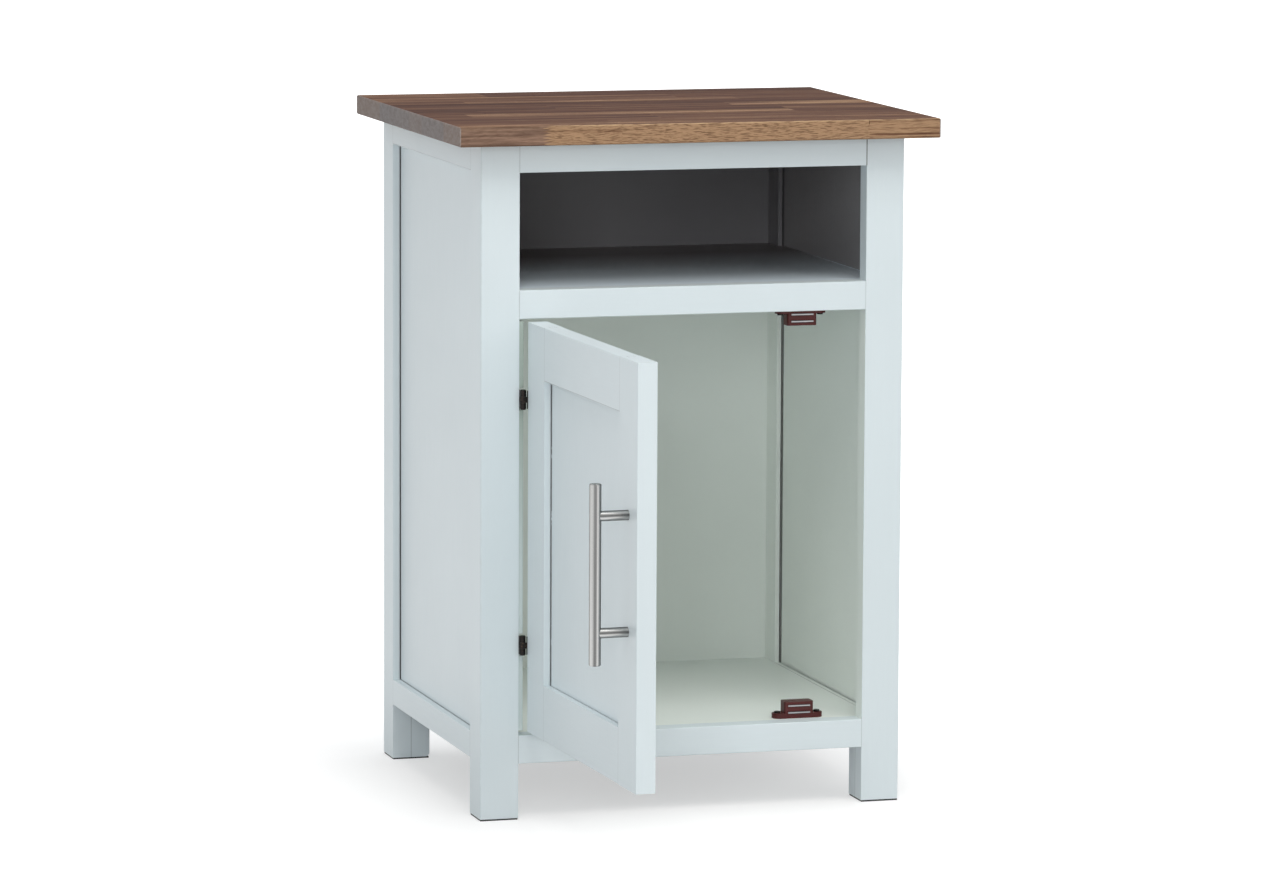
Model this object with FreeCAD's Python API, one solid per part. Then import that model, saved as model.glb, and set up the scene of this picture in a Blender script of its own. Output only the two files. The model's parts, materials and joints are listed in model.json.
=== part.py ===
import FreeCAD, Part

import math
import os

V = FreeCAD.Vector
ALONG_X = V(1, 0, 0)
ALONG_Y = V(0, 1, 0)
ALONG_Z = V(0, 0, 1)

# A small frame-and-panel cabinet: an open cubby over a cupboard with one inset door.
# Millimetres. The origin is on the floor, midway between the four posts; the door is at the -Y side.

# ---- Carcass -------------------------------------------------------------------------------------
cabinet_width = 400.0       # over the outer faces of the posts
cabinet_depth = 356.0       # from the front of the posts to the back
leg_clearance = 51.5        # floor to the bottom rails
cupboard_height = 380.0     # clear height of the door's opening
cubby_height = 106.0        # clear height of the open shelf
frame_board = 18.0          # thickness of the posts' boards, rails, shelf and floor
post_width = 36.0           # each board of an L-shaped post
rail_height = 26.0
arris = 0.8                 # easing of the long edges
post_arris = 1.0            # flat along the outer corner of a front post
side_rail_lift = 1.8        # underside of the lower side rails above that of the front rail
glide_thick = 1.5           # the posts stand on these pads
glide_inset = 0.6           # pad's edge behind the faces of its leg
block_round = 4.0           # inner foot corner of a rear leg block

# ---- Top -----------------------------------------------------------------------------------------
top_thick = 18.0
top_side_overhang = 26.0    # past the posts at each side
top_front_overhang = 25.0   # past the posts at the front; flush at the back
top_arris = 1.5

# ---- Panels, grooves and tenons ------------------------------------------------------------------
panel_thick = 5.0
side_panel_recess = 7.2     # outer face of a side panel behind the outer face of its post
groove_depth = 8.0
groove_play_outer = 0.6     # beside a side panel in its groove, towards the outside
groove_play_inner = 1.6     # and towards the inside, where it shows as a dark line
panel_end_play = 1.0        # at the ends of a panel, so that it can move
back_lap = 9.0              # how far the back panel laps each rear post
tenon_thick = 6.0           # tenons of the front and rear rails, tongues of the boards
tenon_length = 10.0
tenon_shoulder = 4.0        # above and below a tenon
tongue_length = 6.0
joint_play = 0.15           # round a tenon or tongue
board_play = 0.3            # beside the shelf and the floor

# ---- Cleats and blocks ---------------------------------------------------------------------------
top_cleat_size = 18.0
top_cleat_setback = 8.0     # from the posts' boards at each end
catch_block_length = 64.0
catch_block_depth = 26.0

# ---- Door ----------------------------------------------------------------------------------------
door_thick = 18.0
door_inset = 0.5            # door's face behind the posts' faces
hinge_gap = 5.6             # door's edge to the post, taken up by the folded hinge
lock_gap = 4.4              # door's free edge to the other post
door_bottom_gap = 4.6
door_top_gap = 2.0
door_stile = 50.0
door_rail_upper = 48.0
door_rail_lower = 50.0
door_panel_recess = 6.7
door_groove_play_front = 0.7  # beside the panel, towards the door's face, where it shows as a line
door_groove_play_back = 0.2
door_open_angle = 88.4      # degrees, the pose in which the part is modelled

# ---- Hinges --------------------------------------------------------------------------------------
hinge_height = 16.5
hinge_leaf_thick = 1.2
hinge_leaf_depth = 15.0     # from the pin's line into the gap
hinge_pin_radius = 1.35
pin_play = 0.05
pin_head_radius = 2.3
pin_head_thick = 0.8
knuckle_count = 3
knuckle_gap = 0.25
barrel_stand_off = 0.2      # barrel's back in front of the posts' faces
hinge_upper_level = 385.0   # middle of each hinge above the floor
hinge_lower_level = 160.8
packer_thick = 4.0          # strip on the post that fills most of the hinge gap
packer_break = 1.0          # between a hinge and the strips above and below it

# ---- Handle --------------------------------------------------------------------------------------
handle_overhang = 28.2      # bar past each post's middle
handle_radius = 5.25
handle_post_radius = 4.5
handle_spacing = 101.6
handle_stand = 29.5         # door's face to the middle of the bar
handle_edge = 25.0          # bar's line to the door's free edge
handle_level = 270.5
handle_end_arris = 0.7

# ---- Magnetic catches ----------------------------------------------------------------------------
catch_edge = 54.0           # middle of a catch to the free post
catch_body_width = 28.0
catch_depth = 14.5
catch_height = 15.5
catch_flange_width = 48.0
catch_flange_thick = 4.6
catch_wall = 1.6
catch_body_round = 2.6
pole_thick = 1.2
pole_width = 21.0
pole_depth = 11.5
pole_proud = 0.4            # pole's edge in front of the housing
pole_slot_play = 0.5
magnet_thick = 5.2
magnet_setback = 0.6        # magnet behind the front wall
catch_fit = 0.15            # poles and magnet beside the housing's walls
strike_width = 30.0
strike_height = 12.0
strike_thick = 1.2
strike_edge = 0.6           # plate's edge to the door's upper or lower edge
strike_gap = 0.3            # plate to poles when the door is shut

# ---- Screws --------------------------------------------------------------------------------------
# A screw is its head: the wood or the handle's post closes round its shank.
sunk_head_radius = 2.1      # flush heads in the hinges and strikes, as deep as their plates
screw_play = 0.1            # round a flush head in its hole
catch_screw_radius = 2.8
catch_screw_height = 1.6
cleat_screw_radius = 3.6
cleat_screw_height = 2.2
handle_bolt_head = 4.2
handle_bolt_height = 2.4
strike_screw_spacing = 19.0
hinge_screw_spacing = 8.6
hinge_screw_depth = 9.6     # from the pin's line
catch_screw_spacing = 38.0
cleat_screw_inset = 40.0    # from a cleat's ends

# ---- Worked out ----------------------------------------------------------------------------------
left = -cabinet_width / 2
right = cabinet_width / 2
front = -cabinet_depth / 2
back = cabinet_depth / 2
floor_level = leg_clearance + rail_height
side_rail_low = leg_clearance + side_rail_lift
shelf_rail_low = floor_level + cupboard_height
shelf_level = shelf_rail_low + rail_height
top_rail_low = shelf_level + cubby_height
frame_top = top_rail_low + rail_height

panel_outer = left + side_panel_recess
panel_inner = panel_outer + panel_thick
groove_outer = panel_outer - groove_play_outer
groove_inner = panel_inner + groove_play_inner
back_panel_front = back - panel_thick
rear_rail_front = back_panel_front - frame_board
rear_post_front = back - post_width
front_post_back = front + post_width

opening_left = left + post_width
opening_right = right - post_width
door_left = opening_left + hinge_gap
door_right = opening_right - lock_gap
door_low = floor_level + door_bottom_gap
door_high = shelf_rail_low - door_top_gap
door_front = front + door_inset
door_back = door_front + door_thick

barrel_radius = hinge_gap / 2
pin_x = opening_left + barrel_radius
pin_y = front - barrel_radius - barrel_stand_off

catch_x = opening_right - catch_edge
pole_front = door_back + strike_thick + strike_gap
catch_front = pole_front + pole_proud
pole_pitch = magnet_thick + pole_thick
pole_middle = (catch_height - catch_wall) / 2 + catch_wall
handle_length = handle_spacing + 2 * handle_overhang


# ---- Helpers -------------------------------------------------------------------------------------
def block(x0, x1, y0, y1, z0, z1):
    """A rectangular solid between two corners."""
    return Part.makeBox(x1 - x0, y1 - y0, z1 - z0, V(x0, y0, z0))


def prism(outline, z0, z1):
    """A solid whose section is a polygon of (x, y) points, from z0 up to z1."""
    corners = [V(x, y, z0) for x, y in outline]
    face = Part.Face(Part.makePolygon(corners + corners[:1]))
    return face.extrude(V(0, 0, z1 - z0))


def rod(radius, start, length, direction):
    """A round solid of a given length from a point."""
    return Part.makeCylinder(radius, length, start, direction)


def eased(solid, radius, direction, *lines):
    """Rounds the edges that run in a direction through any of the given points.

    Each point gives None for the coordinate that the edge runs along or that doesn't matter.
    """
    chosen = []
    for edge in solid.Edges:
        ends = [vertex.Point for vertex in edge.Vertexes]
        if len(ends) != 2 or (ends[1] - ends[0]).cross(direction).Length > 1e-6:
            continue
        middle = (ends[0] + ends[1]) / 2
        for line in lines:
            if all(want is None or abs(want - have) < 1e-6 for want, have in zip(line, middle)):
                chosen.append(edge)
    return solid.makeFillet(radius, chosen)


def mirrored(solid):
    """The same piece on the other side of the cabinet."""
    return solid.mirror(V(0, 0, 0), ALONG_X)


def sunk_head(depth, face, inward, play=0.0):
    """A screw head flush with a plate's face and as deep as the plate; or the cutter for it."""
    return rod(sunk_head_radius + play, face, depth, inward)


def opened(solid):
    """A piece of the door, turned from shut to the open pose."""
    turned = solid.copy()
    turned.rotate(V(pin_x, pin_y, 0), ALONG_Z, -door_open_angle)
    return turned


parts = {}

# ---- Posts ---------------------------------------------------------------------------------------
# A front post is two boards mitred along the outer corner; the mitre also splits the eased arris.
front_stile = prism(
    [
        (left + post_arris, front),
        (opening_left, front),
        (opening_left, front + frame_board),
        (left + frame_board, front + frame_board),
        (left + post_arris / 2, front + post_arris / 2),
    ],
    glide_thick,
    frame_top,
)
side_stile_front = prism(
    [
        (left + post_arris / 2, front + post_arris / 2),
        (left + frame_board, front + frame_board),
        (left + frame_board, front_post_back),
        (left, front_post_back),
        (left, front + post_arris),
    ],
    glide_thick,
    frame_top,
)
side_stile_rear = block(left, left + frame_board, rear_post_front, back, glide_thick, frame_top)
side_stile_rear = eased(side_stile_rear, arris, ALONG_Z, (left, back, None))

# Grooves for the side panel and the side rails' tenons stop at the foot of the lower rail.
groove_front = block(
    groove_outer, groove_inner, front_post_back - groove_depth, front_post_back, side_rail_low, frame_top
)
groove_rear = block(
    groove_outer, groove_inner, rear_post_front, rear_post_front + groove_depth, side_rail_low, frame_top
)
back_rebate = block(
    left + frame_board - back_lap - joint_play,
    left + frame_board,
    back_panel_front,
    back,
    leg_clearance,
    frame_top,
)
side_stile_front = side_stile_front.cut(groove_front)
side_stile_rear = side_stile_rear.cut(groove_rear).cut(back_rebate)


# ---- Front and rear rails ------------------------------------------------------------------------
def tenoned_rail(x_shoulder, y_face, z_low):
    """A rail across the cabinet with a stub tenon at each end, and its mortise in the left post."""
    y_tenon = y_face + (frame_board - tenon_thick) / 2
    z_tenon = z_low + tenon_shoulder
    z_tenon_top = z_low + rail_height - tenon_shoulder
    body = block(x_shoulder, -x_shoulder, y_face, y_face + frame_board, z_low, z_low + rail_height)
    body = eased(
        body,
        arris,
        ALONG_X,
        (None, y_face, z_low),
        (None, y_face, z_low + rail_height),
    )
    tenon = block(
        x_shoulder - tenon_length,
        -x_shoulder + tenon_length,
        y_tenon,
        y_tenon + tenon_thick,
        z_tenon,
        z_tenon_top,
    )
    mortise = block(
        x_shoulder - tenon_length - joint_play,
        x_shoulder,
        y_tenon - joint_play,
        y_tenon + tenon_thick + joint_play,
        z_tenon - joint_play,
        z_tenon_top + joint_play,
    )
    return body.fuse(tenon), mortise


tongue_rise = (frame_board - tenon_thick) / 2


def tongue_groove(y0, y1, board_low):
    """Cutter along a rail for the tongue of a board that lies between rails."""
    return block(
        opening_left,
        opening_right,
        y0,
        y1,
        board_low + tongue_rise - joint_play,
        board_low + tongue_rise + tenon_thick + joint_play,
    )


floor_board_low = floor_level - frame_board
shelf_board_low = shelf_level - frame_board
front_rail_back = front + frame_board
groove_reach = tongue_length + joint_play

front_rail_levels = {"bottom": leg_clearance, "shelf": shelf_rail_low, "top": top_rail_low}
for name, level in front_rail_levels.items():
    rail, mortise = tenoned_rail(opening_left, front, level)
    front_stile = front_stile.cut(mortise)
    if name != "top":
        board_low = level + rail_height - frame_board
        rail = rail.cut(tongue_groove(front_rail_back - groove_reach, front_rail_back, board_low))
    parts["front_rail_" + name] = rail

rear_rail_levels = {
    "bottom": leg_clearance,
    "shelf": shelf_board_low - rail_height,
    "top": top_rail_low,
}
for name, level in rear_rail_levels.items():
    rail, mortise = tenoned_rail(left + frame_board, rear_rail_front, level)
    side_stile_rear = side_stile_rear.cut(mortise)
    if name == "bottom":
        rail = rail.cut(tongue_groove(rear_rail_front, rear_rail_front + groove_reach, floor_board_low))
    parts["rear_rail_" + name] = rail

# ---- Side rails and panels -----------------------------------------------------------------------
side_rail_levels = {"bottom": (side_rail_low, floor_level), "top": (top_rail_low, frame_top)}
side_rails = {}
for name, (low, high) in side_rail_levels.items():
    rail = block(left, left + frame_board, front_post_back, rear_post_front, low, high)
    tenon = block(
        groove_outer + joint_play,
        groove_inner - joint_play,
        front_post_back - groove_depth + joint_play,
        rear_post_front + groove_depth - joint_play,
        low,
        high,
    )
    panel_edge = high if name == "bottom" else low
    edge = (left, None, panel_edge)
    rail = eased(rail, arris, ALONG_Y, edge)
    if name == "bottom":
        groove_levels = (panel_edge - groove_depth, panel_edge)
    else:
        groove_levels = (panel_edge, panel_edge + groove_depth)
    groove = block(
        groove_outer,
        groove_inner,
        front_post_back - groove_depth,
        rear_post_front + groove_depth,
        *groove_levels,
    )
    side_rails[name] = rail.fuse(tenon).cut(groove)

# The panel stands on the bottom of the lower groove and has play at its other edges.
side_panel = block(
    panel_outer,
    panel_inner,
    front_post_back - groove_depth + panel_end_play,
    rear_post_front + groove_depth - panel_end_play,
    floor_level - groove_depth,
    top_rail_low + groove_depth - panel_end_play,
)

# ---- Back, leg blocks and glides -----------------------------------------------------------------
parts["back_panel"] = block(
    left + frame_board - back_lap,
    right - frame_board + back_lap,
    back_panel_front,
    back,
    leg_clearance,
    frame_top,
)


# A block fills the corner of each L-shaped post below the cabinet's floor, to make a square leg.
block_left = left + frame_board
leg_block_front = block(
    block_left, opening_left, front_rail_back, front_post_back, glide_thick, floor_board_low
)
leg_block_rear = block(block_left, opening_left, rear_post_front, back, glide_thick, leg_clearance)
leg_block_rear = eased(leg_block_rear, block_round, ALONG_Y, (opening_left, None, glide_thick))


def glide(x0, y0):
    """The pad under the leg whose corner of lowest x and y is given."""
    return block(
        x0 + glide_inset,
        x0 + post_width - glide_inset,
        y0 + glide_inset,
        y0 + post_width - glide_inset,
        0,
        glide_thick,
    )


parts["foot_glides"] = Part.Compound(
    [glide(x0, y0) for x0 in (left, opening_right) for y0 in (front, rear_post_front)]
)

# ---- Floor and shelf -----------------------------------------------------------------------------
floor_side = left + frame_board + board_play
floor_tongue = block(
    opening_left + board_play,
    opening_right - board_play,
    front_rail_back - tongue_length,
    rear_rail_front + tongue_length,
    floor_board_low + tongue_rise,
    floor_board_low + tongue_rise + tenon_thick,
)
floor_board = block(
    floor_side, -floor_side, front_rail_back, rear_rail_front, floor_board_low, floor_level
).fuse(floor_tongue)

# The shelf reaches the side panels, so it is notched round the four posts.
shelf_side = panel_inner + board_play
post_side = left + frame_board + board_play
shelf_outline = [
    (post_side, front_rail_back),
    (-post_side, front_rail_back),
    (-post_side, front_post_back + board_play),
    (-shelf_side, front_post_back + board_play),
    (-shelf_side, rear_post_front - board_play),
    (-post_side, rear_post_front - board_play),
    (-post_side, back_panel_front),
    (post_side, back_panel_front),
    (post_side, rear_post_front - board_play),
    (shelf_side, rear_post_front - board_play),
    (shelf_side, front_post_back + board_play),
    (post_side, front_post_back + board_play),
]
shelf_tongue = block(
    opening_left + board_play,
    opening_right - board_play,
    front_rail_back - tongue_length,
    front_rail_back,
    shelf_board_low + tongue_rise,
    shelf_board_low + tongue_rise + tenon_thick,
)
shelf_board = prism(shelf_outline, shelf_board_low, shelf_level).fuse(shelf_tongue)
catch_block = block(
    catch_x - catch_block_length / 2,
    catch_x + catch_block_length / 2,
    front_rail_back,
    front_rail_back + catch_block_depth,
    shelf_rail_low,
    shelf_board_low,
)

# ---- Top and its cleats --------------------------------------------------------------------------
top_panel = block(
    left - top_side_overhang,
    right + top_side_overhang,
    front - top_front_overhang,
    back,
    frame_top,
    frame_top + top_thick,
)
level_edges = [edge for edge in top_panel.Edges if abs(edge.tangentAt(edge.FirstParameter).z) < 0.5]
top_panel = top_panel.makeFillet(top_arris, level_edges)

cleat_x = left + frame_board
cleat = block(
    cleat_x,
    cleat_x + top_cleat_size,
    front_post_back + top_cleat_setback,
    rear_post_front - top_cleat_setback,
    frame_top - top_cleat_size,
    frame_top,
)
cleat_screws = []
cleat_x_middle = cleat_x + top_cleat_size / 2
for y in (front_post_back + cleat_screw_inset, rear_post_front - cleat_screw_inset):
    for x in (cleat_x_middle, -cleat_x_middle):
        seat = V(x, y, frame_top - top_cleat_size)
        cleat_screws.append(rod(cleat_screw_radius, seat, cleat_screw_height, -ALONG_Z))
parts["top_panel"] = top_panel
parts["cleat_screws"] = Part.Compound(cleat_screws)

# ---- Door frame and panel, shut ------------------------------------------------------------------
door_groove_front = door_front + door_panel_recess - door_groove_play_front
door_groove_back = door_front + door_panel_recess + panel_thick + door_groove_play_back
door_field_left = door_left + door_stile
door_field_right = door_right - door_stile
door_field_low = door_low + door_rail_lower
door_field_high = door_high - door_rail_upper


def door_stile_piece(x_outer, x_inner):
    """A door stile with its groove, between its outer and inner edges."""
    x0 = min(x_outer, x_inner)
    x1 = max(x_outer, x_inner)
    stile = block(x0, x1, door_front, door_back, door_low, door_high)
    stile = eased(stile, arris, ALONG_Z, (x_outer, door_front, None), (x_outer, door_back, None))
    depth = math.copysign(groove_depth, x_outer - x_inner)
    groove = block(
        min(x_inner, x_inner + depth),
        max(x_inner, x_inner + depth),
        door_groove_front,
        door_groove_back,
        door_low,
        door_high,
    )
    return stile.cut(groove)


def door_rail_piece(z_outer, z_inner):
    """A door rail with its groove and the stub tenons that fill the stiles' grooves."""
    z0 = min(z_outer, z_inner)
    z1 = max(z_outer, z_inner)
    rail = block(door_field_left, door_field_right, door_front, door_back, z0, z1)
    rail = eased(rail, arris, ALONG_X, (None, door_front, z_outer), (None, door_back, z_outer))
    tenon = block(
        door_field_left - groove_depth + joint_play,
        door_field_right + groove_depth - joint_play,
        door_groove_front + joint_play,
        door_groove_back - joint_play,
        z0,
        z1,
    )
    depth = math.copysign(groove_depth, z_outer - z_inner)
    groove = block(
        door_field_left - groove_depth,
        door_field_right + groove_depth,
        door_groove_front,
        door_groove_back,
        min(z_inner, z_inner + depth),
        max(z_inner, z_inner + depth),
    )
    return rail.fuse(tenon).cut(groove)


door_stile_hinge = door_stile_piece(door_left, door_field_left)
door_stile_free = door_stile_piece(door_right, door_field_right)
door_rails = {
    "upper": door_rail_piece(door_high, door_field_high),
    "lower": door_rail_piece(door_low, door_field_low),
}
door_panel = block(
    door_field_left - groove_depth + panel_end_play,
    door_field_right + groove_depth - panel_end_play,
    door_front + door_panel_recess,
    door_front + door_panel_recess + panel_thick,
    door_field_low - groove_depth,
    door_field_high + groove_depth - panel_end_play,
)

# ---- Butt hinges ---------------------------------------------------------------------------------
knuckle = (hinge_height - (knuckle_count - 1) * knuckle_gap) / knuckle_count
bore_radius = hinge_pin_radius + pin_play


def butt_hinge(level):
    """The leaves and the pin of one butt hinge, shut; odd knuckles belong to the door."""
    low = level - hinge_height / 2
    pin_line = V(pin_x, pin_y, 0)
    leaves = []
    for owner, side in ((0, -1), (1, 1)):
        face = pin_x + side * barrel_radius
        inner = face - side * hinge_leaf_thick
        plate = block(
            min(face, inner), max(face, inner), pin_y, pin_y + hinge_leaf_depth, low, low + hinge_height
        )
        for index in range(knuckle_count):
            base = low + index * (knuckle + knuckle_gap)
            if index % 2 == owner:
                plate = plate.fuse(rod(barrel_radius, pin_line + V(0, 0, base), knuckle, ALONG_Z))
            else:
                reach = barrel_radius + knuckle_gap
                relief = block(
                    pin_x - reach,
                    pin_x + reach,
                    pin_y - reach,
                    pin_y + reach,
                    base - knuckle_gap,
                    base + knuckle + knuckle_gap,
                )
                plate = plate.cut(relief)
        plate = plate.cut(rod(bore_radius, pin_line + V(0, 0, low), hinge_height, ALONG_Z))
        leaves.append(plate.removeSplitter())
    pin = rod(hinge_pin_radius, pin_line + V(0, 0, low), hinge_height, ALONG_Z)
    for base in (low - pin_head_thick, low + hinge_height):
        pin = pin.fuse(rod(pin_head_radius, pin_line + V(0, 0, base), pin_head_thick, ALONG_Z))
    return leaves[0], leaves[1], pin


hinge_levels = {"upper": hinge_upper_level, "lower": hinge_lower_level}
frame_screws = []
door_screws = []
for name, level in hinge_levels.items():
    frame_leaf, door_leaf, pin = butt_hinge(level)
    for offset in (-hinge_screw_spacing / 2, hinge_screw_spacing / 2):
        y = pin_y + hinge_screw_depth
        frame_face = V(opening_left + hinge_leaf_thick, y, level + offset)
        door_face = V(door_left - hinge_leaf_thick, y, level + offset)
        frame_screws.append(sunk_head(hinge_leaf_thick, frame_face, -ALONG_X))
        door_screws.append(opened(sunk_head(hinge_leaf_thick, door_face, ALONG_X)))
        frame_leaf = frame_leaf.cut(sunk_head(hinge_leaf_thick, frame_face, -ALONG_X, screw_play))
        door_leaf = door_leaf.cut(sunk_head(hinge_leaf_thick, door_face, ALONG_X, screw_play))
    parts["hinge_" + name + "_frame_leaf"] = frame_leaf
    parts["hinge_" + name + "_door_leaf"] = opened(door_leaf)
    parts["hinge_" + name + "_pin"] = pin
parts["hinge_screws_frame"] = Part.Compound(frame_screws)
parts["hinge_screws_door"] = Part.Compound(door_screws)

# A packing strip stands on the post beside the door and is broken at each hinge.
clear_half = hinge_height / 2 + pin_head_thick + packer_break
strip_ends = [
    door_low,
    hinge_lower_level - clear_half,
    hinge_lower_level + clear_half,
    hinge_upper_level - clear_half,
    hinge_upper_level + clear_half,
    door_high,
]
for name, low, high in zip(("lower", "middle", "upper"), strip_ends[0::2], strip_ends[1::2]):
    parts["hinge_strip_" + name] = block(
        opening_left, opening_left + packer_thick, door_front, front_rail_back, low, high
    )

# ---- Handle --------------------------------------------------------------------------------------
handle_x = door_right - handle_edge
handle_y = door_front - handle_stand
bar_start = V(handle_x, handle_y, handle_level - handle_length / 2)
handle_bar = rod(handle_radius, bar_start, handle_length, ALONG_Z)
bar_ends = [edge for edge in handle_bar.Edges if len(edge.Vertexes) == 1]
handle_bar = handle_bar.makeChamfer(handle_end_arris, bar_ends)
handle_screws = []
for name, side in (("upper", 1), ("lower", -1)):
    level = handle_level + side * handle_spacing / 2
    post = rod(handle_post_radius, V(handle_x, door_front, level), handle_stand, -ALONG_Y)
    parts["handle_post_" + name] = opened(post.cut(handle_bar))
    seat = V(handle_x, door_back, level)
    handle_screws.append(opened(rod(handle_bolt_head, seat, handle_bolt_height, ALONG_Y)))
parts["handle_bar"] = opened(handle_bar)
parts["handle_screws"] = Part.Compound(handle_screws)


# ---- Magnetic catches ----------------------------------------------------------------------------
def magnetic_catch():
    """Housing, magnet and the two pole plates, standing on z = 0 with the front wall at y = 0."""
    half = catch_body_width / 2
    body = block(-half, half, 0, catch_depth, 0, catch_height)
    body = eased(
        body,
        catch_body_round,
        ALONG_Z,
        (-half, 0, None),
        (half, 0, None),
        (-half, catch_depth, None),
        (half, catch_depth, None),
    )
    end_round = catch_depth / 2
    reach = catch_flange_width / 2 - end_round
    flange = block(-reach, reach, 0, catch_depth, 0, catch_flange_thick)
    for x in (-reach, reach):
        flange = flange.fuse(rod(end_round, V(x, end_round, 0), catch_flange_thick, ALONG_Z))
    pocket_half = pole_width / 2 + catch_fit
    pocket = block(
        -pocket_half, pocket_half, catch_wall, pole_depth + catch_fit, 0, catch_height - catch_wall
    )
    housing = body.fuse(flange).removeSplitter().cut(pocket)
    poles = []
    for side in (-1, 1):
        z_middle = pole_middle + side * pole_pitch / 2
        slot = block(
            -pocket_half,
            pocket_half,
            0,
            catch_wall,
            z_middle - pole_thick / 2 - pole_slot_play,
            z_middle + pole_thick / 2 + pole_slot_play,
        )
        housing = housing.cut(slot)
        poles.append(
            block(
                -pole_width / 2,
                pole_width / 2,
                -pole_proud,
                pole_depth,
                z_middle - pole_thick / 2,
                z_middle + pole_thick / 2,
            )
        )
    magnet = block(
        -pole_width / 2,
        pole_width / 2,
        catch_wall + magnet_setback,
        pole_depth,
        pole_middle - magnet_thick / 2,
        pole_middle + magnet_thick / 2,
    )
    return housing, magnet, poles


all_poles = []
all_magnets = []
catch_screws = []
strike_screws = []
strike_places = {"lower": (floor_level, 1), "upper": (shelf_rail_low, -1)}
for name, (mount_level, up) in strike_places.items():
    housing, magnet, poles = magnetic_catch()
    pieces = [housing, magnet] + poles
    if up < 0:
        pieces = [piece.mirror(V(0, 0, 0), ALONG_Z) for piece in pieces]
    for piece in pieces:
        piece.translate(V(catch_x, catch_front, mount_level))
    all_magnets.append(pieces[1])
    all_poles += pieces[2:]
    for side in (-1, 1):
        seat = V(
            catch_x + side * catch_screw_spacing / 2,
            catch_front + catch_depth / 2,
            mount_level + up * catch_flange_thick,
        )
        catch_screws.append(rod(catch_screw_radius, seat, catch_screw_height, V(0, 0, up)))
    parts["catch_" + name + "_housing"] = pieces[0]

    door_edge = door_low if up > 0 else door_high
    strike_start = door_edge + up * strike_edge
    strike_end = strike_start + up * strike_height
    strike_low = min(strike_start, strike_end)
    half = strike_width / 2
    plate = block(
        catch_x - half,
        catch_x + half,
        door_back,
        door_back + strike_thick,
        strike_low,
        strike_low + strike_height,
    )
    for side in (-1, 1):
        face = V(
            catch_x + side * strike_screw_spacing / 2,
            door_back + strike_thick,
            (strike_start + strike_end) / 2,
        )
        strike_screws.append(opened(sunk_head(strike_thick, face, -ALONG_Y)))
        plate = plate.cut(sunk_head(strike_thick, face, -ALONG_Y, screw_play))
    parts["strike_plate_" + name] = opened(plate)
parts["catch_poles"] = Part.Compound(all_poles)
parts["catch_magnets"] = Part.Compound(all_magnets)
parts["catch_screws"] = Part.Compound(catch_screws)
parts["strike_screws"] = Part.Compound(strike_screws)

# ---- Collect the pieces that come in pairs, the boards, and the door ------------------------------
paired = {
    "front_stile": front_stile,
    "side_stile_front": side_stile_front,
    "side_stile_rear": side_stile_rear,
    "side_rail_top": side_rails["top"],
    "side_rail_bottom": side_rails["bottom"],
    "side_panel": side_panel,
    "leg_block_front": leg_block_front,
    "leg_block_rear": leg_block_rear,
    "top_cleat": cleat,
}
for name, piece in paired.items():
    parts[name + "_left"] = piece
    parts[name + "_right"] = mirrored(piece)
parts["floor_board"] = floor_board
parts["shelf_board"] = shelf_board
parts["catch_block"] = catch_block
door_boards = {
    "door_stile_hinge": door_stile_hinge,
    "door_stile_free": door_stile_free,
    "door_rail_upper": door_rails["upper"],
    "door_rail_lower": door_rails["lower"],
    "door_panel": door_panel,
}
for name, piece in door_boards.items():
    parts[name] = opened(piece)

os.makedirs("parts", exist_ok=True)
for name, shape in sorted(parts.items()):
    shape.exportStep("parts/" + name + ".step")
    print(name, len(shape.Solids), shape.isValid(), round(shape.Volume))
print(len(parts), "nodes")
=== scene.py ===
import json
import math

import bmesh
import bpy
from mathutils import Matrix, Vector


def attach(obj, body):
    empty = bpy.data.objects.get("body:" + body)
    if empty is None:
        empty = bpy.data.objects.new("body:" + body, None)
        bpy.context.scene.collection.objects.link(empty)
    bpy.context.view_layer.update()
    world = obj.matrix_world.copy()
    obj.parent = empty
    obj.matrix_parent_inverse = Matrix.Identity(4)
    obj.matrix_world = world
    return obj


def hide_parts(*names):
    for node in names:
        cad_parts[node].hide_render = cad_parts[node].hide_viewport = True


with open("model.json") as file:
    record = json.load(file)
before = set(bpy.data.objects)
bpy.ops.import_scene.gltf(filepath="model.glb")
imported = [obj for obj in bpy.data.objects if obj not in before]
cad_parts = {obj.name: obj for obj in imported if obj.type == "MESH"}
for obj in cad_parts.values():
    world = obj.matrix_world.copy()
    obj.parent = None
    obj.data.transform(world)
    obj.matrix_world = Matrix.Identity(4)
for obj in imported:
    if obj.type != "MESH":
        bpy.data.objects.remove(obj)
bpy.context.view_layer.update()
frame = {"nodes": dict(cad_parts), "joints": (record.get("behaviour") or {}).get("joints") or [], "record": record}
nodes = frame["nodes"]
node_body = {
    member: body for body, members in frame["record"]["behaviour"]["bodies"].items() for member in members
}
scene = bpy.context.scene
scene.view_settings.view_transform = "Standard"

# ---- Camera: worked out from the cabinet's own straight edges, in metres and degrees ---------------
CAMERA_PLACE = Vector((-1.6619, -5.6064, 1.0994))
CAMERA_YAW = 16.534
CAMERA_PITCH = -7.605
CAMERA_ROLL = -0.283
CAMERA_REACH = 50.0
FOCAL_PIXELS = 6302
IMAGE_WIDTH = 1280
SENSOR_WIDTH = 36.0

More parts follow.
